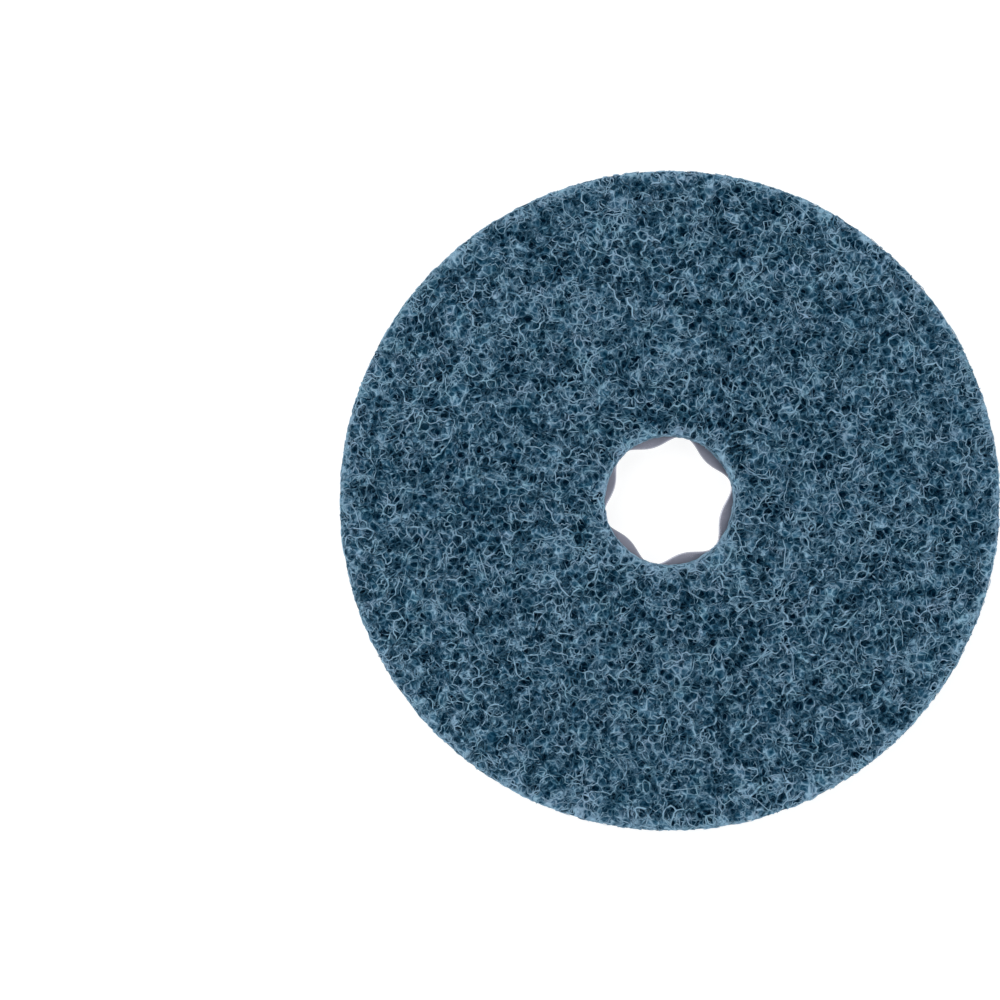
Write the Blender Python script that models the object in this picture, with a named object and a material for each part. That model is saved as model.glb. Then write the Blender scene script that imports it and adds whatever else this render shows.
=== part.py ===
"""Surface conditioning disc: an open fibre web on a backing fabric, with a pressed steel mounting ring.

Metres, +Z up, working side up. The disc rests on the raised lip of its ring, at Z = 0.
"""
from math import atan, cos, pi, radians, sin, sqrt, tan

import bmesh
import bpy
import numpy as np
from mathutils import Vector
from mathutils.geometry import delaunay_2d_cdt

MM = 0.001

# Disc
DISC_DIAMETER = 125.0 * MM
WEB_THICKNESS = 4.7 * MM
BACKING_THICKNESS = 1.0 * MM
JOINT_CLEARANCE = 0.3 * MM

# Open surface of the web: round voids between high knots of fibre
WEB_VOID_SPACING = 3.65 * MM
WEB_VOID_DEPTH = 2.2 * MM
WEB_VOID_SHAKE = 0.65 * MM
WEB_KNOT_FALL = 0.7 * MM
WEB_ROUNDING = 0.9 * MM
WEB_EDGE_FALL = 0.9 * MM
WEB_EDGE_SHAKE = 0.3 * MM
WEB_SEED = 5

# Needled underside of the backing: shallow pits in slanting rows
BACKING_PIT_SPACING = 4.8 * MM
BACKING_PIT_DEPTH = 0.35 * MM
BACKING_PIT_SHAKE = 0.6 * MM
BACKING_ROUNDING = 0.25 * MM
BACKING_EDGE_SHAKE = 0.1 * MM
BACKING_SLANT = radians(45)
BACKING_SEED = 8

# Mounting ring, pressed from one sheet
SHEET_THICKNESS = 0.8 * MM
LIP_RISE = 2.2 * MM
LIP_WIDTH = 2.85 * MM
LIP_SHOWING = 1.9 * MM
STEP_RUN = 1.75 * MM
STEP_SWING = 1.38 * MM
FLANGE_WIDTH = 5.8 * MM
EDGE_BREAK = 0.12 * MM

# Six-lobed opening of the ring
LOBES = 6
LOBE_ANGLE = radians(15.35)
OPENING_RADIUS = 11.4 * MM
OPENING_SWING = 1.05 * MM
OPENING_SHARPNESS = 0.09 * MM

# Fineness of the round outlines
POINTS_PER_LOBE = 10
STEP_PARTS = (0.0, 0.2, 0.5, 0.8, 1.0)
WEB_RIM_POINT_SPACING = 2.7 * MM
BACKING_RIM_POINT_SPACING = 4.1 * MM
BORE_POINT_SPACING = 1.6 * MM

# Heights, from the lip that the disc rests on
BACKING_UNDERSIDE = LIP_RISE + SHEET_THICKNESS + JOINT_CLEARANCE
BACKING_TOP = BACKING_UNDERSIDE + BACKING_THICKNESS
WEB_UNDERSIDE = BACKING_TOP + JOINT_CLEARANCE
WEB_TOP = WEB_UNDERSIDE + WEB_THICKNESS

# Radii
DISC_RADIUS = DISC_DIAMETER / 2
BORE_RADIUS = OPENING_RADIUS - OPENING_SWING + OPENING_SHARPNESS + LIP_SHOWING
STEP_START_RADIUS = OPENING_RADIUS + LIP_WIDTH
STEP_END_RADIUS = STEP_START_RADIUS + STEP_RUN
FLANGE_RADIUS = STEP_END_RADIUS + FLANGE_WIDTH


def clear_scene():
    """Remove whatever the opened file holds."""
    for old in list(bpy.data.objects):
        bpy.data.objects.remove(old, do_unlink=True)


def plain_material(name, colour, roughness, metallic=0.0):
    """A Principled material of one colour."""
    material = bpy.data.materials.new(name)
    material.use_nodes = True
    shader = material.node_tree.nodes["Principled BSDF"]
    shader.inputs["Base Color"].default_value = (*colour, 1.0)
    shader.inputs["Roughness"].default_value = roughness
    shader.inputs["Metallic"].default_value = metallic
    return material


def add_object(name, bm, material, sharp_angle):
    """Turn a bmesh into a named, smoothly shaded object with its faces pointing out."""
    bmesh.ops.recalc_face_normals(bm, faces=bm.faces)
    mesh = bpy.data.meshes.new(name)
    bm.to_mesh(mesh)
    bm.free()
    mesh.shade_smooth()
    mesh.set_sharp_from_angle(angle=sharp_angle)
    mesh.materials.append(material)
    piece = bpy.data.objects.new(name, mesh)
    bpy.context.scene.collection.objects.link(piece)
    return piece


def points_round(radius, spacing):
    """How many points go round a circle, a multiple of four so that they meet both axes."""
    return 4 * max(6, round(2 * pi * radius / spacing / 4))


def circle(radius, count):
    """Points of a circle, as rows of x and y."""
    turn = np.arange(count) * 2 * pi / count
    return radius * np.column_stack((np.cos(turn), np.sin(turn)))


def hexagon_lattice(spacing, shake, reach, rng):
    """Voids on a six-sided lattice, and a knot in the middle of each triangle of voids."""
    steps = np.arange(-int(2 * reach / spacing), int(2 * reach / spacing) + 1)
    i, j = (index.ravel() for index in np.meshgrid(steps, steps))
    row_height = spacing * sqrt(3) / 2
    voids = np.column_stack(((i + j / 2) * spacing, j * row_height))
    knots = np.vstack((voids + (spacing / 2, row_height / 3), voids + (0.0, row_height * 2 / 3)))
    voids = voids + rng.uniform(-shake, shake, voids.shape)
    knots = knots + rng.uniform(-shake, shake, knots.shape)
    return voids, knots


def slanted_lattice(spacing, shake, reach, rng):
    """Pits on a slanting square lattice, and a knot between every four pits."""
    steps = np.arange(-int(2 * reach / spacing), int(2 * reach / spacing) + 1)
    i, j = (index.ravel() for index in np.meshgrid(steps, steps))
    across = np.array((cos(BACKING_SLANT), sin(BACKING_SLANT))) * spacing
    along = np.array((-sin(BACKING_SLANT), cos(BACKING_SLANT))) * spacing
    pits = np.outer(i, across) + np.outer(j, along)
    knots = pits + (across + along) / 2
    pits = pits + rng.uniform(-shake, shake, pits.shape)
    return pits, knots


def between(points, inner, outer):
    """Those of the points that lie between two radii."""
    radius = np.hypot(points[:, 0], points[:, 1])
    return points[(radius > inner) & (radius < outer)]


def net_surface(bm, outer, inner, points, heights):
    """Triangles over the points and between two closed outlines, each point at its own height."""
    flat = np.vstack((outer, inner, points))
    edges = [(k, (k + 1) % len(outer)) for k in range(len(outer))]
    edges += [(len(outer) + k, len(outer) + (k + 1) % len(inner)) for k in range(len(inner))]
    corners, _, triangles, sources, _, _ = delaunay_2d_cdt(
        [Vector(point) for point in flat], edges, [], 1, 1e-7)
    verts = []
    for corner, source in zip(corners, sources):
        verts.append(bm.verts.new((corner.x, corner.y, heights[source[0]])))
    inside = len(outer) + len(inner)
    for triangle in triangles:
        on_bore = all(len(outer) <= sources[k][0] < inside for k in triangle)
        if not on_bore:
            bm.faces.new([verts[k] for k in triangle])


def open_ring(bm, beyond, within):
    """The open edges whose middle lies between two radii."""
    ring = []
    for edge in bm.edges:
        middle = (edge.verts[0].co.xy + edge.verts[1].co.xy) / 2
        if edge.is_boundary and beyond < middle.length < within:
            ring.append(edge)
    return ring


def extrude_ring(bm, ring, radius, height, shake=0.0, rng=None):
    """Extrude a ring of open edges to a new radius and height, with each point pulled in at random."""
    made = bmesh.ops.extrude_edge_only(bm, edges=ring)["geom"]
    verts = [item for item in made if isinstance(item, bmesh.types.BMVert)]
    verts.sort(key=lambda vert: np.arctan2(vert.co.y, vert.co.x))
    for vert in verts:
        pull = rng.uniform(0.0, shake) if shake else 0.0
        direction = vert.co.xy.normalized()
        vert.co = (*(direction * (radius - pull)), height)
    made_verts = set(verts)
    return [item for item in made if isinstance(item, bmesh.types.BMEdge)
            and item.verts[0] in made_verts and item.verts[1] in made_verts]


def make_web():
    """The fibre web: voids and knots on top, a soft worn rim, a flat bonded underside."""
    rng = np.random.default_rng(WEB_SEED)
    shoulder = DISC_RADIUS - WEB_ROUNDING
    mouth = BORE_RADIUS + WEB_ROUNDING / 2
    rim = circle(shoulder, points_round(DISC_RADIUS, WEB_RIM_POINT_SPACING))
    rim *= 1 - rng.uniform(0.0, WEB_EDGE_SHAKE, (len(rim), 1)) / shoulder
    bore = circle(mouth, points_round(BORE_RADIUS, BORE_POINT_SPACING))
    voids, knots = hexagon_lattice(WEB_VOID_SPACING, WEB_VOID_SHAKE, DISC_RADIUS, rng)
    margin = WEB_VOID_SPACING / 4
    voids = between(voids, mouth + margin, shoulder - margin)
    knots = between(knots, mouth + margin, shoulder - margin)
    edge_falls = rng.uniform(0.0, WEB_EDGE_FALL, len(rim) + len(bore))
    void_falls = rng.uniform(WEB_VOID_DEPTH / 2, WEB_VOID_DEPTH, len(voids))
    knot_falls = rng.uniform(0.0, WEB_KNOT_FALL, len(knots))
    knot_falls -= knot_falls.min()
    bm = bmesh.new()
    heights = WEB_TOP - np.concatenate((edge_falls, void_falls, knot_falls))
    net_surface(bm, rim, bore, np.vstack((voids, knots)), heights)
    wall_top = WEB_TOP - WEB_EDGE_FALL - WEB_ROUNDING / 2
    middle = (mouth + shoulder) / 2
    ring = open_ring(bm, middle, DISC_DIAMETER)
    ring = extrude_ring(bm, ring, DISC_RADIUS, wall_top, WEB_EDGE_SHAKE, rng)
    ring = extrude_ring(bm, ring, DISC_RADIUS, (wall_top + WEB_UNDERSIDE) / 2)
    outer_foot = extrude_ring(bm, ring, DISC_RADIUS, WEB_UNDERSIDE, WEB_EDGE_SHAKE, rng)
    ring = extrude_ring(bm, open_ring(bm, 0.0, middle), BORE_RADIUS, wall_top)
    inner_foot = extrude_ring(bm, ring, BORE_RADIUS, WEB_UNDERSIDE)
    bmesh.ops.bridge_loops(bm, edges=outer_foot + inner_foot)
    material = plain_material("navy_fibre", (0.050, 0.102, 0.152), 0.9)
    return add_object("abrasive_fleece", bm, material, radians(70))


def make_backing():
    """The backing fabric: flat where it meets the web and the ring's flange, pitted outside the flange."""
    rng = np.random.default_rng(BACKING_SEED)
    rim = circle(DISC_RADIUS - BACKING_ROUNDING, points_round(DISC_RADIUS, BACKING_RIM_POINT_SPACING))
    bore = circle(BORE_RADIUS, points_round(BORE_RADIUS, BORE_POINT_SPACING))
    margin = BACKING_PIT_SPACING / 4
    flange_seat = circle(FLANGE_RADIUS + margin, points_round(FLANGE_RADIUS, BACKING_PIT_SPACING))
    pits, knots = slanted_lattice(BACKING_PIT_SPACING, BACKING_PIT_SHAKE, DISC_RADIUS, rng)
    pits = between(pits, FLANGE_RADIUS + 2 * margin, DISC_RADIUS - BACKING_ROUNDING - margin)
    knots = between(knots, FLANGE_RADIUS + 2 * margin, DISC_RADIUS - BACKING_ROUNDING - margin)
    flat = np.zeros(len(rim) + len(bore) + len(flange_seat))
    pit_rises = rng.uniform(BACKING_PIT_DEPTH / 2, BACKING_PIT_DEPTH, len(pits))
    knot_rises = rng.uniform(0.0, BACKING_PIT_DEPTH / 4, len(knots))
    bm = bmesh.new()
    heights = BACKING_UNDERSIDE + np.concatenate((flat, pit_rises, knot_rises))
    net_surface(bm, rim, bore, np.vstack((flange_seat, pits, knots)), heights)
    middle = (BORE_RADIUS + DISC_RADIUS) / 2
    ring = open_ring(bm, middle, DISC_DIAMETER)
    ring = extrude_ring(bm, ring, DISC_RADIUS, BACKING_UNDERSIDE + BACKING_ROUNDING)
    outer_top = extrude_ring(bm, ring, DISC_RADIUS, BACKING_TOP, BACKING_EDGE_SHAKE, rng)
    inner_top = extrude_ring(bm, open_ring(bm, 0.0, middle), BORE_RADIUS, BACKING_TOP)
    bmesh.ops.bridge_loops(bm, edges=outer_top + inner_top)
    material = plain_material("pale_backing", (0.110, 0.221, 0.292), 0.9)
    return add_object("backing_fabric", bm, material, radians(40))


def opening_radius(turn):
    """Radius of the lobed opening: a circle with a swing in and out, and a faster one that sharpens it."""
    phase = LOBES * (turn - LOBE_ANGLE)
    return OPENING_RADIUS + OPENING_SWING * cos(phase) + OPENING_SHARPNESS * cos(2 * phase)


def step_radius(turn, part):
    """Radius of the pressed step, which follows the lobes, from its start on the lip to its end."""
    return STEP_START_RADIUS + part * STEP_RUN + STEP_SWING * cos(LOBES * (turn - LOBE_ANGLE))


def step_height(part):
    """Height across the step: a smooth S from the lip up to the flange."""
    return LIP_RISE * part * part * (3 - 2 * part)


def sheet_side(turn, step_shift, lift):
    """One side of the sheet at one turn: lip, step and flange as radius and height, opening first."""
    side = [(opening_radius(turn), lift)]
    side += [(step_radius(turn, part) - step_shift, lift + step_height(part)) for part in STEP_PARTS]
    side.append((FLANGE_RADIUS, lift + LIP_RISE))
    return side


def make_ring():
    """The mounting ring: the outline of its sheet, carried round the axis and back into itself."""
    count = LOBES * POINTS_PER_LOBE
    steepest = atan(1.5 * LIP_RISE / STEP_RUN)
    top_shift = SHEET_THICKNESS * tan(steepest / 2)
    bm = bmesh.new()
    sections = []
    for k in range(count):
        turn = LOBE_ANGLE + k * 2 * pi / count
        section = sheet_side(turn, 0.0, 0.0) + sheet_side(turn, top_shift, SHEET_THICKNESS)[::-1]
        sections.append([bm.verts.new((radius * cos(turn), radius * sin(turn), height))
                         for radius, height in section])
    for here, there in zip(sections, sections[1:] + sections[:1]):
        for k in range(len(here)):
            after = (k + 1) % len(here)
            bm.faces.new((here[k], here[after], there[after], there[k]))
    material = plain_material("satin_steel", (0.42, 0.42, 0.45), 0.35, metallic=1.0)
    ring = add_object("mounting_ring", bm, material, radians(50))
    edge_break = ring.modifiers.new("edge_break", "BEVEL")
    edge_break.width = EDGE_BREAK
    edge_break.segments = 1
    edge_break.limit_method = "ANGLE"
    edge_break.angle_limit = radians(70)
    return ring


clear_scene()
make_web()
make_backing()
make_ring()
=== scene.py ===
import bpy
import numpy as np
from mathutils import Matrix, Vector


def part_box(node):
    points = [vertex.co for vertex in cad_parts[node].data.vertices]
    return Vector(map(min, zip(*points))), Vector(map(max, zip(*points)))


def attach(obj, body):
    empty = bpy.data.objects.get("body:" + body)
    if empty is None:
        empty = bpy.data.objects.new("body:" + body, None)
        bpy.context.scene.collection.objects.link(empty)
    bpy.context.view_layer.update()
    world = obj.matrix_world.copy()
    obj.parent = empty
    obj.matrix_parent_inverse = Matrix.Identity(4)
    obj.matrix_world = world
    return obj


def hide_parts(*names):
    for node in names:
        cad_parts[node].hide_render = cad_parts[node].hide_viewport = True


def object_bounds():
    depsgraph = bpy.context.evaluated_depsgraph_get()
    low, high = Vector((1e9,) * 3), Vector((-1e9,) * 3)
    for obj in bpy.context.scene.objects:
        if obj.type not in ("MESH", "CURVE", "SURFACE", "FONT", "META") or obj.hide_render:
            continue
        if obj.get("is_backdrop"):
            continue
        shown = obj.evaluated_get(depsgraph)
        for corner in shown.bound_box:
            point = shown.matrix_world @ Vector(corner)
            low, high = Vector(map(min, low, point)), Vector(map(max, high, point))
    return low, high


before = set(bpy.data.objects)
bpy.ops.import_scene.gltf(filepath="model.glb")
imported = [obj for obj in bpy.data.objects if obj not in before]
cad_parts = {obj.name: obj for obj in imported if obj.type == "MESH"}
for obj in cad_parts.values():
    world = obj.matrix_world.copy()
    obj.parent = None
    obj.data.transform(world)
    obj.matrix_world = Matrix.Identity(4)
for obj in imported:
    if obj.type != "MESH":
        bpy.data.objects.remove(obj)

# %% [markdown]
# The object is a flat disc for a hand grinder, 125 mm across. Its working side is an open web of crimped
# plastic fibres, stiff with blue resin. Behind it lies a thin, paler backing cloth, and behind that a pressed
# steel ring with a six-lobed opening.
#
# The frame that was just loaded holds those three pieces as plain solids of the right size. This script
# dresses them: it makes the web out of thousands of real fibres, the cloth as a needled fabric, and the ring
# as satin steel with rounded punched edges. First it keeps the box of the plain solids, because the dressed
# object has to stay the same size.

MM = 0.001
plain_box = [list(corner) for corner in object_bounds()]

fleece_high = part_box("abrasive_fleece")[1]
backing_low, backing_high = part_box("backing_fabric")

DISC_RADIUS = fleece_high.x
FACE = fleece_high.z
print("disc radius", round(DISC_RADIUS / MM, 3), "mm, working face at", round(FACE / MM, 3), "mm")

# %% [markdown]
# The ring is the only piece with exact sizes, because a grinder's hub has to click into it. Its opening is a
# circle with six waves on it, and everything around the opening follows: the flat lip, the pressed step and
# the bore of the web, which shows a narrow band of the lip. These are the sizes that the plain ring was made
# from.

# %% Sizes of the ring and the bore
LOBES = 6
LOBE_ANGLE = np.radians(15.35)
OPENING_RADIUS = 11.4 * MM
OPENING_SWING = 1.05 * MM
OPENING_SHARPNESS = 0.09 * MM
LIP_WIDTH = 2.85 * MM
LIP_SHOWING = 1.9 * MM
LIP_RISE = 2.2 * MM
STEP_RUN = 1.75 * MM
STEP_SWING = 1.38 * MM
FLANGE_WIDTH = 5.8 * MM
SHEET_THICKNESS = 0.8 * MM
FLANGE_RADIUS = OPENING_RADIUS + LIP_WIDTH + STEP_RUN + FLANGE_WIDTH
BORE_RADIUS = OPENING_RADIUS - OPENING_SWING + OPENING_SHARPNESS + LIP_SHOWING
print("bore radius", round(BORE_RADIUS / MM, 3), "mm, flange radius", round(FLANGE_RADIUS / MM, 3), "mm")

# %% [markdown]
# All three bodies of the disc are rings with a closed section: go once round the section, and once round the
# axis, and you are back where you started. So one function makes them all. It takes the section's radius and
# height as arrays with one row for each point of the section and one column for each step around the axis,
# and joins the last row and column to the first ones. Nothing has to be capped, and the mesh is closed.
# Blender's Screw modifier turns a section too, but always the same one, and here it changes on its way round.

# %% A closed section carried around the axis
def link_piece(name, mesh, material, slot, *replaced):
    """Puts a finished mesh in the scene as a piece that rides on the disc."""
    mesh.materials.append(material)
    mesh.shade_smooth()
    piece = bpy.data.objects.new(name, mesh)
    bpy.context.scene.collection.objects.link(piece)
    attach(piece, "root")
    if replaced:
        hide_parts(*replaced)
    mesh.calc_loop_triangles()
    print(name, "has", len(mesh.loop_triangles), "triangles")


def add_values(mesh, values):
    """Stores one number for each point under each given name, for a material to read."""
    for name, numbers in values.items():
        store = mesh.attributes.new(name, "FLOAT", "POINT")
        store.data.foreach_set("value", np.ravel(numbers).astype(np.float32))


def turned_mesh(name, radius, height, angle, **values):
    """Point (i, j) lies at radius[i, j] from the axis, height[i, j] up and angle[j] around.
    Four neighbours make a face, and the last row and column join the first."""
    points = np.dstack((radius * np.cos(angle), radius * np.sin(angle), height))
    index = np.arange(radius.size).reshape(radius.shape)
    on, around = np.roll(index, -1, axis=0), np.roll(index, -1, axis=1)
    faces = np.stack((index, on, np.roll(on, -1, axis=1), around), axis=-1)
    mesh = bpy.data.meshes.new(name)
    mesh.from_pydata(points.reshape(-1, 3), [], faces.reshape(-1, 4))
    add_values(mesh, values)
    return mesh


# %% [markdown]
# Nothing on the web is regular, but it isn't noise either: it has knots of fibres with holes between them.
# Two kinds of randomness give that. The first is lumps, the usual smooth random hills, for what varies
# slowly. Blender has noise textures for this, but they can only move or colour what is there already. Lumps
# worked out as arrays can press in a relief, steer the fibres and colour both, all with the same hills.

# %% Lumps
LUMP_TABLE = 64


def lumps(points, size, seed):
    """Smooth random hills from -1 to 1: random numbers at the corners of cubes of the given size, blended
    across each cube with an s-shaped curve."""
    table = np.random.default_rng(seed).uniform(-1, 1, (LUMP_TABLE,) * 3)
    place = points / size
    corner = np.floor(place).astype(int)
    share = place - corner
    share = share * share * (3 - 2 * share)
    total = 0
    for step in np.ndindex(2, 2, 2):
        weight = np.prod(np.where(step, share, 1 - share), axis=-1)
        x, y, z = np.moveaxis((corner + step) % LUMP_TABLE, -1, 0)
        total = total + weight * table[x, y, z]
    return total


lump_sample = lumps(np.random.default_rng(0).uniform(0, 1, (1000, 3)), 0.1, seed=0)
print("lumps go from", round(lump_sample.min(), 2), "to", round(lump_sample.max(), 2))

# %% [markdown]
# The second kind is holes. Places drawn freely would crowd here and gape there, and a plain honeycomb would
# show its rows, so the holes are scattered on a honeycomb that is shaken. For any point it finds the nearest
# hole and the next one. Halfway between two holes is a ridge. Where three holes meet is a knot, and a fibre
# can go from knot to knot around the holes, as ants walk on a net.

# %% Holes
class Honeycomb:
    """Holes at a given distance, each shaken off its place in a honeycomb by a share of that distance, and
    all of them pushed about by slow lumps, so that some holes are wide and others narrow."""

    REACH = 110

    def __init__(self, pitch, shake, push, seed):
        self.pitch = pitch
        self.grid = pitch * np.array([[1, 0], [0.5, np.sqrt(0.75)]])
        random = np.random.default_rng(seed)
        steps = np.stack(np.meshgrid(*2 * [np.arange(-self.REACH, self.REACH + 1)], indexing="ij"), axis=-1)
        places = steps @ self.grid
        self.centres = places + random.uniform(-shake, shake, steps.shape) * pitch
        for axis in range(2):
            slow = lumps(np.dstack((places, 0 * places[..., :1])), 1.6 * pitch, seed + axis)
            self.centres[..., axis] += push * pitch * slow
        self.sizes = random.uniform(0, 1, steps.shape[:2])
        self.knots = self._knots(random)

    def _knots(self, random):
        """Each rhombus of four holes holds two knots, each at an uneven mean of three holes."""
        c = self.centres
        threes = (c[:-1, :-1], c[1:, :-1], c[:-1, 1:]), (c[1:, 1:], c[:-1, 1:], c[1:, :-1])
        knots = []
        for three in threes:
            share = random.uniform(0.3, 1.0, (3,) + three[0].shape[:2] + (1,))
            knots.append((np.stack(three) * share).sum(axis=0) / share.sum(axis=0))
        return np.stack(knots)

    def nearest(self, places):
        """The way from the nearest hole, how far off the nearest two are, and the nearest one's own
        number. It looks through the 25 holes of the honeycomb around the place."""
        cell = np.floor(places @ np.linalg.inv(self.grid) + 0.5).astype(int) + self.REACH - 2
        first = np.full(places.shape[:-1], np.inf)
        second, own = first.copy(), np.zeros(first.shape)
        way = np.zeros(places.shape)
        for step in np.ndindex(5, 5):
            row, column = np.moveaxis(np.clip(cell + step, 0, 2 * self.REACH), -1, 0)
            off = places - self.centres[row, column]
            distance = np.linalg.norm(off, axis=-1)
            closer = distance < first
            second = np.where(closer, first, np.minimum(second, distance))
            first = np.where(closer, distance, first)
            own = np.where(closer, self.sizes[row, column], own)
            way = np.where(closer[..., None], off, way)
        return way, first, second, own

    def depth(self, places, least):
        """From 0 on a ridge to 1 in the middle of a deep hole: an s-shaped curve of how much nearer the
        nearest hole is than the next one, times that hole's own depth, which lies between the least and 1."""
        _, first, second, own = self.nearest(places)
        inside = np.clip((second - first) / self.pitch / 0.5, 0, 1)
        return inside * inside * (3 - 2 * inside) * (least + (1 - least) * own)

    def follow(self, start, edges, straight, random):
        """Walks from knot to knot, with a row of knots for each start. A walk comes to a knot along one of
        its three edges and leaves by the next or the last of the other two. The given share of the walks
        turn the other way at each knot, which keeps them going straight on."""
        cell = np.floor(start @ np.linalg.inv(self.grid)).astype(int) + self.REACH
        kind, edge, turn = (random.integers(0, n, len(start)) for n in (2, 3, 2))
        moves = np.array([[[0, 0], [-1, 0], [0, -1]], [[0, 0], [1, 0], [0, 1]]])
        row = [self.knots[kind, cell[:, 0], cell[:, 1]]]
        for _ in range(edges):
            turn = np.where(random.uniform(size=len(start)) < straight, 1 - turn, turn)
            edge = (edge + 1 + turn) % 3
            cell = cell + moves[kind, edge]
            kind = 1 - kind
            row.append(self.knots[kind, cell[:, 0], cell[:, 1]])
        return np.stack(row, axis=1)


HOLE_PITCH = 1.8 * MM
holes = Honeycomb(HOLE_PITCH, 0.46, 0.35, seed=5)
knot_gaps = np.linalg.norm(holes.knots[0] - holes.knots[1], axis=-1)
print("holes", round(HOLE_PITCH / MM, 1), "mm apart, knots about", round(np.median(knot_gaps) / MM, 2), "mm")

# %% [markdown]
# A material is a net of nodes. It could be drawn by hand in the editor, or linked node by node in a long
# list, and both are hard to read back. So shaders are written as sums too. A socket wrapped in Tap can be
# added, multiplied and so on, and each such step adds a Math node.

# %% Sums of sockets
class Tap:
    """A socket that numbers flow from. Sums and products of it add Math nodes."""

    def __init__(self, socket):
        self.socket = socket

    def _sum(self, operation, *terms):
        node = self.socket.node.id_data.nodes.new("ShaderNodeMath")
        node.operation = operation
        fill(node, dict(enumerate(terms)))
        return Tap(node.outputs[0])

    def __add__(self, other):
        return self._sum("ADD", self, other)

    def __sub__(self, other):
        return self._sum("SUBTRACT", self, other)

    def __rsub__(self, other):
        return self._sum("SUBTRACT", other, self)

    def __mul__(self, other):
        return self._sum("MULTIPLY", self, other)

    def __truediv__(self, other):
        return self._sum("DIVIDE", self, other)

    __radd__ = __add__
    __rmul__ = __mul__

    def larger(self, other):
        return self._sum("MAXIMUM", self, other)

    def limited(self):
        """Held between 0 and 1."""
        return self._sum("MINIMUM", self.larger(0.0), 1.0)


def fill(node, inputs):
    """Gives each named or numbered socket of a node its value or its link."""
    for key, value in inputs.items():
        if isinstance(value, Tap):
            node.id_data.links.new(value.socket, node.inputs[key])
        else:
            node.inputs[key].default_value = value


# %% [markdown]
# Any other node comes from Finish.add, which sets the node's own settings first and then fills or links its
# sockets. The methods below it are the few nodes that every finish here needs.

# %% A finish under way
class Finish:
    """A material under way: its nodes, and its Principled shader."""

    def __init__(self, name):
        self.material = bpy.data.materials.new(name)
        self.material.use_nodes = True
        self.nodes = self.material.node_tree.nodes
        self.shader = self.nodes["Principled BSDF"]

    def add(self, kind, inputs=None, output=0, stops=None, **settings):
        """A node of that type: settings first, a ramp's stops among them, then its sockets."""
        node = self.nodes.new("ShaderNode" + kind)
        for key, value in settings.items():
            setattr(node, key, value)
        if stops:
            ramp = node.color_ramp
            ramp.elements.remove(ramp.elements[1])
            ramp.elements[0].position, ramp.elements[0].color = stops[0][0], (*stops[0][1], 1)
            for place, colour in stops[1:]:
                ramp.elements.new(place).color = (*colour, 1)
        fill(node, inputs or {})
        return Tap(node.outputs[output])

    def place(self):
        """Where the shaded point lies, in metres."""
        return self.add("TexCoord", output="Object")

    def grain(self, place, scale, detail=2.0):
        """Smooth random values around a half, with the given number of hills in a metre."""
        return self.add("TexNoise", {"Vector": place, "Scale": scale, "Detail": detail}, output="Fac")

    def speckle(self, place, scale, swing, detail=2.0):
        """The same values, but around zero and times the given swing."""
        return (self.grain(place, scale, detail) - 0.5) * swing

    def value(self, name):
        """The number that the mesh stores under that name."""
        return self.add("Attribute", output="Fac", attribute_name=name)

    def mix(self, share, first, second, how="MIX"):
        """Two colours mixed by a share from 0 to 1."""
        pair = [colour if isinstance(colour, Tap) else (*colour, 1) for colour in (first, second)]
        return self.add(
            "Mix", {0: share, 6: pair[0], 7: pair[1]}, output=2, data_type="RGBA", blend_type=how
        )

    def done(self, **sockets):
        """Fills the shader's sockets and gives the material."""
        fill(self.shader, {name.replace("_", " "): value for name, value in sockets.items()})
        print(self.material.name, "is a finish of", len(self.nodes), "nodes")
        return self.material


# %% [markdown]
# The web's colour is one blue, seen at many depths. The holes are nearly black blue. What lies on top
# catches the light and is a pale grey blue. So each point gets a number for its tone, into which the shade
# of the holes and the light on top are painted, and one ramp turns that number into colour. Slow patches lean
# towards green or towards purple, as resin does that has dried unevenly. A picture of real web could be laid
# over the disc, but it would repeat, and it would carry the light it was taken in.

# %% The fleece's blues
FLEECE_TONES = [
    (0.00, (0.0004, 0.0130, 0.0358)),
    (0.25, (0.0037, 0.0370, 0.0753)),
    (0.50, (0.0259, 0.0951, 0.1618)),
    (0.75, (0.1037, 0.2272, 0.3359)),
    (1.00, (0.3026, 0.4940, 0.6484)),
]
FLEECE_CASTS = (((0.75, 1.10, 0.98), 260.0, 0.22), ((1.35, 0.94, 1.02), 380.0, 0.22))


def tinted(finish, place, colour, casts):
    """The colour with patches on it, each kind with its cast, its number of patches in a metre and its
    strength."""
    for cast, scale, strength in casts:
        patch = finish.speckle(place, scale, 5.0, 3.0).limited() * strength
        colour = finish.mix(patch, colour, finish.mix(1.0, colour, cast, "MULTIPLY"))
    return colour


def fibre_finish(name, tones, casts, grain_scale):
    """Resin-coated fibre: its stored tone with painted light and shade in it, plus a mottle a millimetre
    wide, plus a speckle of grit.
    """
    finish = Finish(name)
    place = finish.place()
    # The stored number is the fibre's tone with painted light and painted shade in it.
    light = finish.value("lightness") + finish.speckle(place, 950.0, 1.05)
    light = light + finish.speckle(place, grain_scale, 0.35)
    colour = finish.add("ValToRGB", {"Fac": light}, stops=tones)
    return finish.done(
        Base_Color=tinted(finish, place, colour, casts), Roughness=0.55, Specular_IOR_Level=0.06
    )


fleece_fibre = fibre_finish("fleece_fibre", FLEECE_TONES, FLEECE_CASTS, 1300.0)

# %% [markdown]
# Under the loose fibres lies a denser tangle that can't be seen fibre by fibre. It is a closed body with the
# holes pressed into it as a relief. A hundred thousand more fibres could fill it too, but nobody would see
# them one by one. So its finish draws a net of fine pale lines at two sizes, which the eye reads as the
# fibres further down.

# %% The finish of the dense tangle
LINE_SWAY = 0.7 * MM


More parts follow.
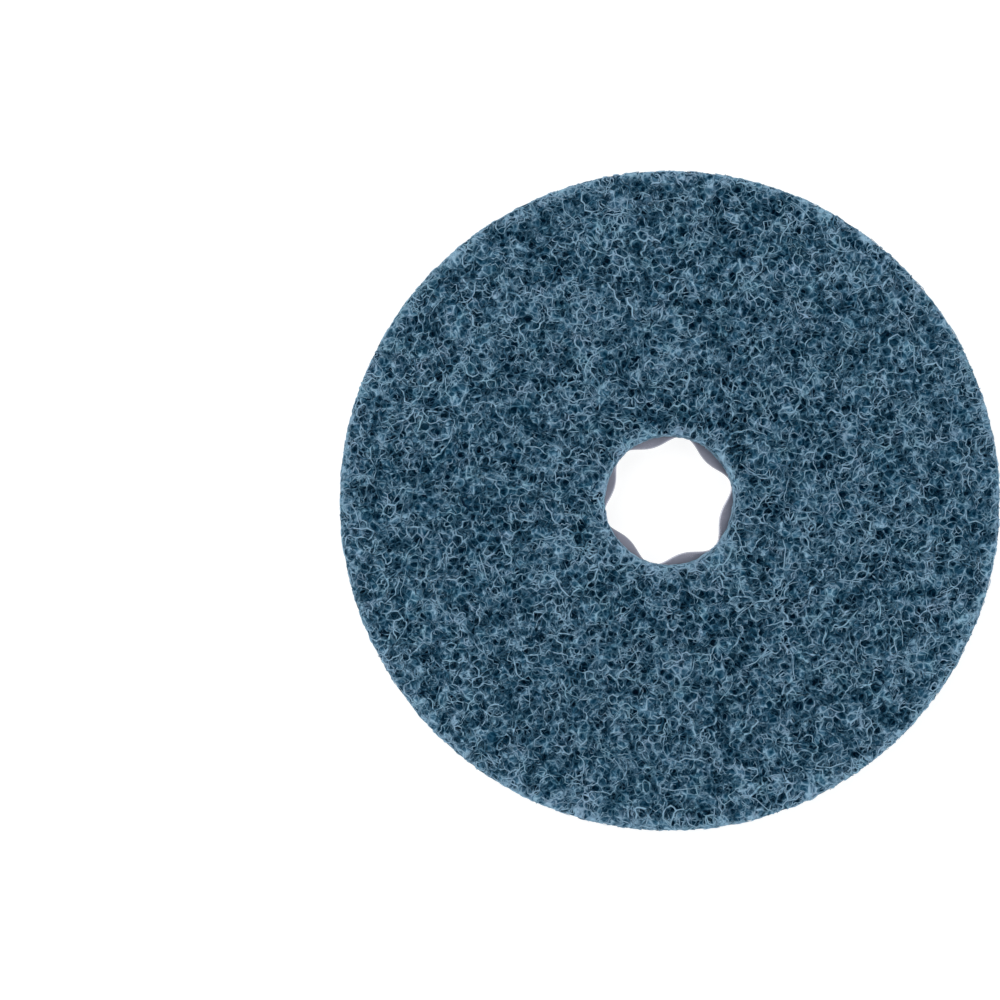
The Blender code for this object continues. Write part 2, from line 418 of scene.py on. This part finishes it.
def tangle_finish(name, tones, casts, nets, bump):
    """Stored tone with the relief's painted shade and painted light in it, plus lines along the borders of
    random cells, plus grit. Each net has its number of cells in a metre, the width of its lines as a share of
    a cell, and its strength."""
    finish = Finish(name)
    place = finish.place()
    sway = finish.add("TexNoise", {"Vector": place, "Scale": 520.0, "Detail": 2.0}, output="Color")
    bent = finish.add(
        "VectorMath", {0: sway, 1: (LINE_SWAY,) * 3, 2: place}, operation="MULTIPLY_ADD"
    )
    lines = None
    for scale, width, strength in nets:
        off = finish.add(
            "TexVoronoi", {"Vector": bent, "Scale": scale}, output="Distance", feature="DISTANCE_TO_EDGE"
        )
        line = (1.0 - off / width).limited() * strength
        lines = line if lines is None else lines.larger(line)
    # The stored number is the body's tone with painted shade in the holes and painted light on top.
    light = finish.value("lightness") + finish.speckle(place, 600.0, 0.65)
    light = light + lines * 0.78 + finish.speckle(place, 1300.0, 0.2)
    colour = finish.add("ValToRGB", {"Fac": light}, stops=tones)
    relief = finish.add("Bump", {"Height": light, "Distance": bump, "Strength": 1.0})
    return finish.done(
        Base_Color=tinted(finish, place, colour, casts), Normal=relief,
        Roughness=0.7, Specular_IOR_Level=0.0,
    )


fleece_tangle = tangle_finish(
    "fleece_tangle", FLEECE_TONES, FLEECE_CASTS, ((600.0, 0.28, 1.0), (950.0, 0.36, 0.6)), 0.4 * MM
)

# %% [markdown]
# The body's section is a rectangle with rounded corners: the working face, the cut rim, the underside and
# the cut wall of the bore. The holes go down from the face, and shallow lumps dent the walls, where the knife
# has cut through the same web. Bump in a material could only pretend to be that deep, and a Displace modifier
# would move the points but not tell the finish which of them are low. Here one function does both.

# %% The body of the fleece
def section(inner, outer, foot, top, corner, rows, bends, wall_rows):
    """A rounded rectangle as radius, height and outward direction, one value for each of its points: the
    top from the inside out, a quarter turn, the outer wall, a quarter turn, the bottom, and so on."""
    turn = np.linspace(0, np.pi / 2, bends)
    sides = []
    corners = (
        (outer - corner, top - corner, np.pi / 2), (outer - corner, foot + corner, 0.0),
        (inner + corner, foot + corner, -np.pi / 2), (inner + corner, top - corner, np.pi),
    )
    counts = (rows[0], wall_rows, rows[1], wall_rows)
    for (r, z, start), count in zip(corners, counts):
        way = start - turn
        arc = np.stack((r + corner * np.cos(way), z + corner * np.sin(way), np.cos(way), np.sin(way)))
        sides.append((count, arc))
    pieces = []
    for number, (count, arc) in enumerate(sides):
        before = sides[number - 1][1][:, -1:]
        share = np.linspace(0, 1, count + 2)[1:-1]
        pieces += [before + share * (arc[:, :1] - before), arc]
    return np.concatenate(pieces, axis=1)


FLEECE_AROUND = 600
FLEECE_ROWS = 104
BODY_DROP = 0.75 * MM
RIM_FUZZ = 0.21 * MM
HOLE_DEPTH = 1.3 * MM
SHALLOWEST_HOLE = 0.4
CLUMP_SIZE = 1.5 * MM
CLUMP_RISE = 0.3 * MM
DENT_DEPTH = 0.6 * MM


def clumps(places):
    """Lumps, about 3 mm from one to the next, that raise what lies on them and lighten it as painted light.
    """
    return lumps(np.concatenate((places, 0 * places[..., :1]), axis=-1), CLUMP_SIZE, 32)


def edge_glow(distance):
    """1 along the cut rim and the bore, where loose ends stand free and catch light, and 0 further in."""
    rim = np.clip((distance - DISC_RADIUS) / (3.0 * MM) + 1, 0, 1)
    bore = np.clip(1 - (distance - BORE_RADIUS) / (2.2 * MM), 0, 1)
    return np.maximum(rim ** 2, bore)


def fleece_body():
    """The rounded section, taken around. Holes and clumps shape the face. Lumps dent the walls, and more so
    further down. The face rises towards the cuts, where the knife has pinched the web. What lies deep in the
    holes and dents is painted dark, as shade. Clumps are painted light, as light on what stands high, and cut
    edges are lighter, partly as paler cut fibres and partly as painted light."""
    angle = np.arange(FLEECE_AROUND) * 2 * np.pi / FLEECE_AROUND
    radius, height, outward, upward = section(
        BORE_RADIUS, DISC_RADIUS + RIM_FUZZ / 2, backing_high.z - 0.02 * MM, FACE - BODY_DROP, 0.3 * MM,
        rows=(FLEECE_ROWS, 1), bends=4, wall_rows=6,
    )[:, :, None]
    radius = radius + 0 * angle
    flat = np.stack((radius * np.cos(angle), radius * np.sin(angle)), axis=-1)
    solid = np.dstack((flat, height + 0 * angle))
    face, wall = np.clip(upward, 0, 1), np.abs(outward) ** 3
    glow = edge_glow(radius) * face
    deep = holes.depth(flat, SHALLOWEST_HOLE) * face
    clump = clumps(flat) * face
    dent = (0.5 + 0.5 * lumps(solid, 0.9 * MM, 31)) * wall
    lower = np.clip((FACE - height) / (1.5 * MM), 0.3, 1)
    radius = radius - outward * DENT_DEPTH * dent * lower
    height = height + CLUMP_RISE * clump + 0.6 * BODY_DROP * glow - HOLE_DEPTH * deep
    # Painted shade in the holes and low wall dents, painted light on clumps; cut edges partly paler fibres,
    # partly painted light.
    lightness = 0.23 - 0.46 * deep - 0.45 * dent * lower + 0.19 * clump + 0.35 * glow
    return turned_mesh("fleece_body", radius, height, angle, lightness=lightness)


link_piece("fleece_body", fleece_body(), fleece_tangle, "fleece", "abrasive_fleece")

# %% [markdown]
# A fibre is a thin crimped thread a few millimetres long that shows between two knots. Each one is a walk:
# it goes ahead by equal steps, its heading drifts, and at each step it may kink. Blender's hair grows such
# threads, but it can't follow a net of holes and isn't a mesh. So the walks are made as whole arrays, with a
# row for each fibre.

# %% Walks of crimped fibres
SWAY_LENGTH = 6 * MM


def waves(count, points, pace, length, swing, random):
    """A slow sine wave along each row, with its own start, and 0.7 to 1.4 times as long as given."""
    start = random.uniform(0, 2 * np.pi, (count, 1))
    own = length * random.uniform(0.7, 1.4, (count, 1))
    return swing * np.sin(2 * np.pi * np.arange(points) * pace / own + start)


def walks(start, points, pace, drift, kink, random):
    """Rows of places: heading = a random one, plus the sum of a steady turn, a wave and a kink at each step;
    place = the sum of steps along the heading. Each walk is centred on its start."""
    count = len(start)
    turn = random.normal(0, pace / drift, (count, 1))
    turn = turn + waves(count, points, pace, SWAY_LENGTH, pace / drift, random)
    turn = turn + random.normal(0, kink, (count, points))
    heading = random.uniform(0, 2 * np.pi, (count, 1)) + np.cumsum(turn, axis=1)
    places = np.cumsum(pace * np.stack((np.cos(heading), np.sin(heading)), axis=-1), axis=1)
    return start[:, None] + places - places.mean(axis=1, keepdims=True)


# %% [markdown]
# The walks start all over the disc. Free ones are pushed a little out of the holes, and others follow the net
# from knot to knot, so that both run along the ridges as real fibres do. All of them are turned back where
# the knife has cut the rim and the bore. Cutting them there would be closer to the knife, but a thread that
# bends back along the cut closes the edge with the same number of points.

# %% Fibres on the face
STRAIGHT_ON = 0.7
GOLDEN_ANGLE = np.pi * (3 - np.sqrt(5))


def turned_back(value, limit, side, softness=0.06 * MM):
    """The value where it is clear of the limit, and mirrored at it where it would pass, with a soft bend."""
    return limit - side * np.sqrt((limit - value) ** 2 + softness ** 2)


def on_ridges(places, push):
    """Places in a hole move outwards: the new distance from its middle is the cube root of the sum of the
    cubes of the old distance and of the hole's size times the push."""
    way, first, _, own = holes.nearest(places)
    size = push * holes.pitch * (0.22 + 0.2 * own)
    moved = np.cbrt(first ** 3 + size ** 3)
    return places + way * (moved / np.maximum(first, 1e-9) - 1)[..., None]


def spread(count, random):
    """Places all over the disc at an even density, as a sunflower sets its seeds: each is a golden angle
    further round than the last, and its distance from the axis grows as a square root. All are shaken."""
    share = (np.arange(count) + random.uniform(0, 1, count)) / count
    distance = np.sqrt(BORE_RADIUS ** 2 + share * (DISC_RADIUS ** 2 - BORE_RADIUS ** 2))
    bearing = np.arange(count) * GOLDEN_ANGLE + random.normal(0, 0.02, count)
    return distance[:, None] * np.stack((np.cos(bearing), np.sin(bearing)), axis=-1)


def inside_cuts(places):
    """The places, mirrored back where they pass the rim or the bore."""
    old = np.linalg.norm(places, axis=-1, keepdims=True)
    new = turned_back(turned_back(old, DISC_RADIUS + RIM_FUZZ / 2, 1), BORE_RADIUS, -1)
    return places * new / old


def free_walks(count, points, pace, drift, kink, push, random):
    """Fibres that wander freely over the face, pushed a little out of the holes."""
    start = spread(count, random)
    return inside_cuts(on_ridges(walks(start, points, pace, drift, kink, random), push))


def net_walks(net, count, edges, shake, random):
    """Fibres that follow the net from knot to knot, each a little off the knots on its own way."""
    knots = net.follow(spread(count, random), edges, STRAIGHT_ON, random)
    return inside_cuts(knots + random.normal(0, shake, knots.shape))


def bowed(places, bow, random):
    """The rows of places with a point put in between each two, off the straight line by a share of its
    length. The old points in between are eased towards the new ones on both sides."""
    edge = places[:, 1:] - places[:, :-1]
    across = np.stack((-edge[..., 1], edge[..., 0]), axis=-1)
    bows = places[:, :-1] + edge / 2 + across * random.normal(0, bow, edge.shape[:2])[..., None]
    result = np.empty((len(places), 2 * places.shape[1] - 1, 2))
    result[:, 0::2] = places
    result[:, 1::2] = bows
    result[:, 2:-1:2] = 0.84 * places[:, 1:-1] + 0.08 * (bows[:, 1:] + bows[:, :-1])
    return result


# %% [markdown]
# A thread could be a curve with a round bevel, but a few thousand of those are slow, and a round section is
# wasted on something a fifth of a millimetre thick. So each walk becomes a tube with three sides, which
# shades as if it were round, with a small triangle at each end. All tubes of a layer are one mesh.

# %% Threads as three-sided tubes
def tube_mesh(name, paths, radii, **values):
    """Around each point of each path stand three corners, at right angles to the path. Corners of
    neighbouring points make the sides, and the first and the last three make the ends."""
    count, points, _ = paths.shape
    along = np.gradient(paths, axis=1)
    along /= np.linalg.norm(along, axis=2, keepdims=True)
    side = np.cross(along, (0.0, 0.0, 1.0))
    side /= np.linalg.norm(side, axis=2, keepdims=True)
    up = np.cross(side, along)
    bearing = np.radians((90, 210, 330))[:, None]
    out = np.cos(bearing) * side[:, :, None] + np.sin(bearing) * up[:, :, None]
    corners = paths[:, :, None] + radii[:, :, None, None] * out
    index = np.arange(count * points * 3).reshape(count, points, 3)
    near, far = index[:, :-1], index[:, 1:]
    sides = np.stack((near, np.roll(near, -1, 2), np.roll(far, -1, 2), far), axis=-1).reshape(-1, 4)
    ends = np.concatenate((index[:, 0, ::-1], index[:, -1]))
    mesh = bpy.data.meshes.new(name)
    mesh.vertices.add(corners.size // 3)
    mesh.vertices.foreach_set("co", corners.ravel())
    mesh.loops.add(sides.size + ends.size)
    mesh.loops.foreach_set("vertex_index", np.concatenate((sides.ravel(), ends.ravel())))
    mesh.polygons.add(len(sides) + len(ends))
    starts = (np.arange(len(sides)) * 4, sides.size + np.arange(len(ends)) * 3)
    mesh.polygons.foreach_set("loop_start", np.concatenate(starts))
    mesh.update(calc_edges=True)
    add_values(mesh, {key: np.repeat(number, 3) for key, number in values.items()})
    print(name, "is", count, "threads of", points, "points, on average", end=" ")
    print(round(2 * radii.mean() / MM, 2), "mm thick")
    return mesh


def thread_radii(count, points, mean, random):
    """Each thread has its own thickness, is thinner at its ends, and swells a little along its length."""
    share = np.linspace(0, 1, points)
    ends = np.minimum(1, np.minimum(share, 1 - share) * 5 + 0.35)
    own = mean * random.lognormal(0, 0.3, (count, 1))
    return own * ends * (1 + waves(count, points, 0.5, 3.0, 0.15, random))


# %% [markdown]
# The fibres lie in layers. The top one is the net around the holes, with some free hairs on it, and is
# painted pale, as light on top. The middle one is a finer net, which spans the holes too and carries the main
# blue. The deep one is a tangle of free fibres, painted dark, as shade. One layer of the same fibres at all
# depths would take as many of them and hide the net, which is what the eye knows this web by.

# %% The fibres of the working face
random = np.random.default_rng(11)
fine_holes = Honeycomb(1.1 * MM, 0.46, 0.4, seed=15)
NET_SHAKE = 0.06 * MM
DEPTH_WAVE = 4 * MM


def laid_fibres(name, places, face, side, depths, thickness, light, knotted=0.0):
    """One layer: paths over a face, at their own depth between the two given, which rise and fall a little.
    Side is 1 for a face that looks up and -1 for one that looks down. A path is painted lighter near the face
    and on a clump, as light, and darker further down, as shade. It is lighter at a cut edge, partly as paler
    cut fibres and partly as painted light. Every other point of a knotted path is a knot, where resin makes
    it thicker, and where it is also made lighter."""
    count, points = places.shape[:2]
    own = random.uniform(*depths, (count, 1))
    clump = clumps(places)
    depth = own + waves(count, points, 0.5 * MM, DEPTH_WAVE, 0.25 * (depths[1] - depths[0]), random)
    depth = np.maximum(depth - 0.2 * MM * (clump - 0.3), 1.1 * thickness)
    glow = edge_glow(np.linalg.norm(places, axis=-1))
    # Painted light near the face, on clumps and at cut edges, and painted shade further down, on each path's
    # tone.
    lightness = light + random.normal(0, 0.18, (count, 1)) + 0.45 * glow + 0.17 * clump
    lightness = lightness + 0.5 * (sum(depths) / 2 - depth) / MM
    knot = knotted * np.where(np.arange(points) % 2, -1, 1)
    radii = thread_radii(count, points, thickness, random) * (1 + knot)
    paths = np.dstack((places, face - side * depth))
    return tube_mesh(name, paths, radii, lightness=lightness + 0.5 * knot)


top_places = bowed(net_walks(holes, 2750, 5, NET_SHAKE, random), 0.07, random)
hair_places = free_walks(240, 11, 0.62 * MM, 9 * MM, 0.26, 0.2, random)
middle_places = net_walks(fine_holes, 4300, 7, NET_SHAKE, random)
deep_places = free_walks(2000, 8, 0.62 * MM, 2.4 * MM, 0.45, 0.5, random)
# Each layer's starting lightness is painted shade by depth: the deeper the layer, the darker it is.
for name, places, depths, thickness, light, knotted in (
    ("fleece_net", top_places, (0.12 * MM, 0.55 * MM), 0.124 * MM, 0.83, 0.20),
    ("fleece_hairs", hair_places, (0.12 * MM, 0.45 * MM), 0.100 * MM, 0.86, 0.0),
    ("fleece_fine_net", middle_places, (0.35 * MM, 1.00 * MM), 0.122 * MM, 0.67, 0.12),
    ("fleece_deep_fibres", deep_places, (0.90 * MM, 1.80 * MM), 0.135 * MM, 0.36, 0.0),
):
    mesh = laid_fibres(name, places, FACE, 1, depths, thickness, light, knotted)
    link_piece(name, mesh, fleece_fibre, "fleece")

# %% [markdown]
# The knife has cut straight down through the web, so the rim and the bore are walls of cut fibres. They could
# be short stubs that point outwards, but the cut presses the ends flat. So the same walks, made on a flat
# strip, are wrapped around the axis as a label is around a tin.

# %% The fibres of the cut walls
WALL_POINTS = 8
WALL_THREAD = 0.09 * MM
WALL_LAYER = 0.35 * MM


def wall_fibres(name, radius, side, count, light):
    """Walks over a strip as long as the wall's circumference and as high as fleece and backing together.
    Along the strip becomes the angle, across it becomes the height, and the fibres fill a thin layer at the
    wall. Side is 1 where the wall looks outwards and -1 where it looks at the axis."""
    start = random.uniform((0, backing_low.z), (2 * np.pi * radius, FACE), (count, 2))
    strip = walks(start, WALL_POINTS, 0.5 * MM, 2.4 * MM, 0.5, random)
    height = turned_back(strip[..., 1], FACE - 1.3 * WALL_THREAD, 1)
    height = turned_back(height, backing_low.z + 0.3 * MM, -1)
    inside = random.uniform(0, 1, (count, 1)) * WALL_LAYER - RIM_FUZZ
    ripple = 0.06 * MM * (1 + waves(count, WALL_POINTS, 0.6, 3.0, 1.0, random))
    off = radius - side * (inside + WALL_THREAD + ripple)
    bearing = strip[..., 0] / radius
    paths = np.dstack((off * np.cos(bearing), off * np.sin(bearing), height))
    # Painted shade: fibres further inside the cut wall are darker.
    lightness = light + random.normal(0, 0.15, (count, 1)) - 0.5 * inside / MM + 0 * height
    radii = thread_radii(count, WALL_POINTS, WALL_THREAD, random)
    return tube_mesh(name, paths, radii, lightness=lightness)


# Rim and bore fibres start pale, partly as paler cut fibres and partly as painted light on the cut edges.
link_piece("fleece_rim_fibres", wall_fibres("rim", DISC_RADIUS, 1, 1800, 1.0), fleece_fibre, "fleece")
link_piece("fleece_bore_fibres", wall_fibres("bore", BORE_RADIUS, -1, 450, 0.95), fleece_fibre, "fleece")

# %% [markdown]
# The ring is pressed from sheet steel 0.8 mm thick. Its section is a line with a thickness: flat on the lip,
# an s-shaped step, and flat again on the flange. The step's radius and the opening's radius wave in and out
# six times around. Punching and tumbling leave the edges round, so the sheet thins at both ends along a
# quarter circle. A plate with a hole cut out by a Boolean and a Bevel would have uneven faces at the lobes,
# and as a line with a thickness it has even rows, in which steel's reflections run clean.

# %% The steel ring
RING_AROUND = 400
EDGE_ROUND = 0.2 * MM
STEP_EASE = 0.24 * MM
BENDS = (0.08, 1.14)


def ring_mesh():
    """For each angle, the middle line goes from the opening over the lip, up the step and out over the
    flange.
    The sheet's two sides lie half a thickness to each side of it, at right angles. The painted highlight is a
    bell curve at each of the two bends, which lie at those shares of the step, and grows towards the edges."""
    angle = np.arange(RING_AROUND) * 2 * np.pi / RING_AROUND
    lobe = np.cos(LOBES * (angle - LOBE_ANGLE))
    opening = OPENING_RADIUS + OPENING_SWING * lobe + OPENING_SHARPNESS * (2 * lobe ** 2 - 1)
    step = OPENING_RADIUS + LIP_WIDTH - STEP_EASE + STEP_SWING * lobe
    edge = EDGE_ROUND * (1 - np.cos(np.linspace(0, np.pi / 2, 6)))[:, None]
    flat = np.linspace(0, 1, 6)[1:-1, None]
    share = np.linspace(-0.15, 1.35, 19)[:, None]
    inner = opening + edge
    outer = FLANGE_RADIUS + 0 * angle - edge[::-1]
    rise = step + STEP_RUN * share
    lip = inner[-1] + (rise[0] - inner[-1]) * flat
    flange = rise[-1] + (outer[0] - rise[-1]) * flat
    radius = np.concatenate((inner, lip, rise, flange, outer))
    climb = np.clip((radius - step) / STEP_RUN, 0, 1)
    height = LIP_RISE * climb ** 2 * (3 - 2 * climb) + SHEET_THICKNESS / 2
    slope = LIP_RISE / STEP_RUN * 6 * climb * (1 - climb)
    normal = np.stack((-slope, np.ones_like(slope))) / np.sqrt(1 + slope ** 2)
    to_edge = np.minimum(np.minimum(radius - opening, FLANGE_RADIUS - radius), EDGE_ROUND)
    half = SHEET_THICKNESS / 2 - EDGE_ROUND + np.sqrt(EDGE_ROUND ** 2 - (EDGE_ROUND - to_edge) ** 2)
    upper = np.stack((radius, height)) + normal * half
    lower = np.stack((radius, height)) - normal * half
    around = np.concatenate((upper, lower[:, ::-1]), axis=1)
    # Painted highlight: a pale band along each bend of the step and along the rounded edges.
    bends = sum(np.exp(-((radius - step) / STEP_RUN - place) ** 2 / 0.015) for place in BENDS)
    polish = np.clip(bends + 0.7 * (1 - to_edge / EDGE_ROUND), 0, 1)
    polish = np.concatenate((polish, polish[::-1]))
    return turned_mesh("steel_ring", around[0], around[1], angle, polish=polish)


# %% [markdown]
# The steel is neither mirror nor paint. It is a satin grey with a breath of violet, cloudy where oil has
# dried on it. Along the step's two bends and the rounded edges a pale painted highlight is mixed in. A
# highlight painted by height would miss the lobes, so the finish reads the number that the mesh has stored
# for it.

# %% The finish of the ring
STEEL_DARK = (0.165, 0.173, 0.218)
STEEL_LIGHT = (0.235, 0.243, 0.298)
STEEL_HIGHLIGHT = (0.80, 0.82, 0.86)


def steel_finish():
    """A mix of dark and light steel by clouds and specks, and then of a pale painted highlight by its stored
    mask.
    """
    finish = Finish("satin_steel")
    place = finish.place()
    cloud = finish.grain(place, 260.0, 4.0)
    speck = finish.grain(place, 2600.0, 3.0)
    share = ((cloud - 0.5) * 2.0 + (speck - 0.5) * 0.6 + 0.5).limited()
    colour = finish.mix(share, STEEL_DARK, STEEL_LIGHT)
    polish = finish.value("polish")
    # The pale painted highlight is mixed into the steel's colour here.
    colour = finish.mix(polish, colour, STEEL_HIGHLIGHT)
    relief = finish.add("Bump", {"Height": speck, "Distance": 0.02 * MM, "Strength": 0.5})
    return finish.done(
        Base_Color=colour, Metallic=1.0, Roughness=share * -0.08 + 0.34 - polish * 0.1, Normal=relief
    )


link_piece("steel_ring", ring_mesh(), steel_finish(), "ring", "mounting_ring")

# %% [markdown]
# The backing cloth is dense and fine. Needling has punched small pits into it, which are drawn out slantwise
# across the disc. A weave pattern would be too tidy for it. It is a ring body as the fleece is, with its
# relief on the underside and a honeycomb of its own, squeezed along the slant.

# %% The blues and the pits of the backing cloth
BACKING_TONES = [
    (0.00, (0.005, 0.049, 0.086)),
    (0.30, (0.044, 0.142, 0.216)),
    (0.55, (0.138, 0.303, 0.414)),
    (0.80, (0.278, 0.525, 0.679)),
    (1.00, (0.494, 0.790, 0.939)),
]
BACKING_CASTS = (((0.72, 0.98, 1.22), 480.0, 0.5), ((1.15, 1.05, 0.86), 420.0, 0.45))
PIT_SLANT = np.radians(48)
PIT_STRETCH = 1.8
PIT_DEPTH = 0.45 * MM
SHALLOWEST_PIT = 0.2
pits = Honeycomb(1.0 * MM, 0.42, 0.3, seed=8)
print("pits", round(pits.pitch / MM, 1), "by", round(PIT_STRETCH * pits.pitch / MM, 1), "mm apart")


def slanted(places):
    """The places turned and then squeezed along the slant: what is round there is long on the cloth."""
    along = np.array((np.cos(PIT_SLANT), np.sin(PIT_SLANT)))
    across = np.array((-along[1], along[0]))
    return np.stack((places @ along / PIT_STRETCH, places @ across), axis=-1)


# %% The backing cloth
BACKING_AROUND = 480
BACKING_ROWS = 88


def backing_body():
    """The rounded section, taken around, with the pits and lumps pressed into its underside. The pits are
    painted dark, as shade, and the lumps light, as light on what stands out.
    """
    angle = np.arange(BACKING_AROUND) * 2 * np.pi / BACKING_AROUND
    radius, height, outward, upward = section(
        BORE_RADIUS, DISC_RADIUS, backing_low.z + 0.2 * MM, backing_high.z, 0.2 * MM,
        rows=(1, BACKING_ROWS), bends=3, wall_rows=1,
    )[:, :, None]
    radius = radius + 0 * angle
    flat = np.stack((radius * np.cos(angle), radius * np.sin(angle)), axis=-1)
    solid = np.dstack((flat, height + 0 * angle))
    under = np.clip(-upward, 0, 1)
    pit = pits.depth(slanted(flat), SHALLOWEST_PIT) * under
    puff = clumps(slanted(flat)) * under
    dent = 0.5 + 0.5 * lumps(solid, 0.8 * MM, 41)
    radius = radius - outward * 0.25 * MM * dent
    height = height + under * (PIT_DEPTH * pit + 0.1 * MM * dent - 0.08 * MM * puff)
    # Painted shade in the pits, painted light on the lumps.
    return turned_mesh("backing_body", radius, height, angle, lightness=0.46 - 0.72 * pit + 0.18 * puff)


backing_tangle = tangle_finish(
    "backing_tangle", BACKING_TONES, BACKING_CASTS, ((850.0, 0.17, 0.8), (1300.0, 0.22, 0.45)), 0.2 * MM
)
backing_fibre = fibre_finish("backing_fibre", BACKING_TONES, BACKING_CASTS, 1500.0)
link_piece("backing_body", backing_body(), backing_tangle, "backing", "backing_fabric")

backing_places = free_walks(2000, 8, 0.45 * MM, 2.0 * MM, 0.5, 0.0, random)
backing_fibres = laid_fibres(
    "backing_fibres", backing_places, backing_low.z, -1, (0.08 * MM, 0.38 * MM), 0.080 * MM, 0.80
)
link_piece("backing_fibres", backing_fibres, backing_fibre, "backing")

# %% [markdown]
# The floor is a plain pale sheet. Seen by the camera it also glows a little, so that it comes out white as a
# photographer's table does, and the disc's soft shadow still shows on it. From below it can't be seen, which
# lets a camera look at the ring from underneath. More light would make it white too, but it would also
# bleach the disc.

# %% Floor
FLOOR_HALF = 2.0
FLOOR_GREY = 0.37
FLOOR_GLOW = 0.79


def floor_finish():
    """Pale and matt, with a glow that only the camera, metal and glass see. Its underside is clear."""
    finish = Finish("floor")
    seen = finish.add("LightPath", output="Is Camera Ray")
    glossy = finish.add("LightPath", output="Is Glossy Ray")
    passing = finish.add("LightPath", output="Is Transmission Ray")
    shown = seen.larger(glossy).larger(passing)
    clear = finish.add("BsdfTransparent")
    behind = finish.add("NewGeometry", output="Backfacing")
    surface = finish.add("MixShader", {0: behind, 1: Tap(finish.shader.outputs[0]), 2: clear})
    fill(finish.nodes["Material Output"], {"Surface": surface})
    return finish.done(
        Base_Color=(FLOOR_GREY, FLOOR_GREY, FLOOR_GREY, 1), Roughness=0.9, Specular_IOR_Level=0.0,
        Emission_Color=(1, 1, 1, 1), Emission_Strength=shown * FLOOR_GLOW,
    )


floor_mesh = bpy.data.meshes.new("floor")
corners = [(x * FLOOR_HALF, y * FLOOR_HALF, 0) for x, y in ((-1, -1), (1, -1), (1, 1), (-1, 1))]
floor_mesh.from_pydata(corners, [], [(0, 1, 2, 3)])
floor_mesh.materials.append(floor_finish())
floor = bpy.data.objects.new("floor", floor_mesh)
bpy.context.scene.collection.objects.link(floor)
floor.visible_diffuse = False
floor.visible_shadow = False
floor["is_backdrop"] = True
print("floor", 2 * FLOOR_HALF, "m across")

# %% [markdown]
# The light is a plain studio: white all round, two large soft lamps above, the stronger one from the upper
# left, and four long low ones around the underside, which draw the bright lines along the ring's bends.
# Their powers are set so that a matt grey card on the working face comes out at its own grey, and so every
# colour here comes out about as it is written. A spot or a sun would put hard shadows between the fibres.

# %% Light
ROOM_STRENGTH = 0.50
LOW_LAMPS = 4
LOW_REACH = 0.9


def white_room(strength):
    """A white world of that strength, which the camera, metal and glass see at full white."""
    world = bpy.data.worlds.new("white_room")
    world.use_nodes = True
    bpy.context.scene.world = world
    nodes = world.node_tree.nodes
    path = nodes.new("ShaderNodeLightPath")
    shown = Tap(path.outputs["Is Camera Ray"]).larger(Tap(path.outputs["Is Glossy Ray"]))
    shown = shown.larger(Tap(path.outputs["Is Transmission Ray"]))
    glow = shown * (1 - strength) + strength
    fill(nodes["Background"], {"Color": (1, 1, 1, 1), "Strength": glow})
    print("white room of strength", strength)


def soft_lamp(name, place, wide, high, power):
    """A wide lamp at a place, turned to the middle of the disc."""
    lamp = bpy.data.lights.new(name, "AREA")
    lamp.shape = "RECTANGLE"
    lamp.size, lamp.size_y = wide, high
    lamp.energy = power
    holder = bpy.data.objects.new(name, lamp)
    holder.location = place
    holder.rotation_euler = (-Vector(place)).to_track_quat("-Z", "Y").to_euler()
    bpy.context.scene.collection.objects.link(holder)
    print(name, "of", power, "W,", round(Vector(place).length, 2), "m away")


white_room(ROOM_STRENGTH)
soft_lamp("key_lamp", (-0.5, 0.4, 0.9), 1.0, 1.0, 6.15)
soft_lamp("fill_lamp", (0.6, -0.3, 0.9), 1.0, 1.0, 3.25)
for number in range(LOW_LAMPS):
    bearing = 2 * np.pi * (number + 0.5) / LOW_LAMPS
    place = (LOW_REACH * np.cos(bearing), LOW_REACH * np.sin(bearing), -LOW_REACH / 2)
    soft_lamp(f"under_lamp_{number + 1}", place, 1.2, 0.16, 1.5)

# %% [markdown]
# The photograph looks straight down. The disc's rim spans 660.4 of the picture's 1000 points, and its
# middle lies at (670.0, 500.7). The lip, 8.5 mm further down, shows 1.4 percent smaller and shifted towards
# the picture's middle. A lens 0.6 m above the face gives just that.

# %% Camera
PICTURE = 1000
RIM_ACROSS = 660.4
DISC_MIDDLE = (670.0, 500.7)
CAMERA_RISE = 0.6
SENSOR = 36.0
point = 2 * DISC_RADIUS / RIM_ACROSS
camera = bpy.data.cameras.new("camera")
camera.sensor_width = SENSOR
camera.lens = SENSOR * CAMERA_RISE / (point * PICTURE)
camera.clip_start = 0.01
eye = bpy.data.objects.new("camera", camera)
eye.location = (
    (PICTURE / 2 - DISC_MIDDLE[0]) * point, (DISC_MIDDLE[1] - PICTURE / 2) * point, FACE + CAMERA_RISE
)
bpy.context.scene.collection.objects.link(eye)
bpy.context.scene.camera = eye
bpy.context.scene.view_settings.view_transform = "Standard"
print("lens", round(camera.lens, 1), "mm")

# %% [markdown]
# Last, the box of the dressed object is kept beside the box of the plain one, to compare them.

# %% Sizes for comparison
dressed_box = [list(corner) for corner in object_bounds()]
for name, box in (("plain", plain_box), ("dressed", dressed_box)):
    print(name, "size", [round((high - low) / MM, 2) for low, high in zip(*box)], "mm")
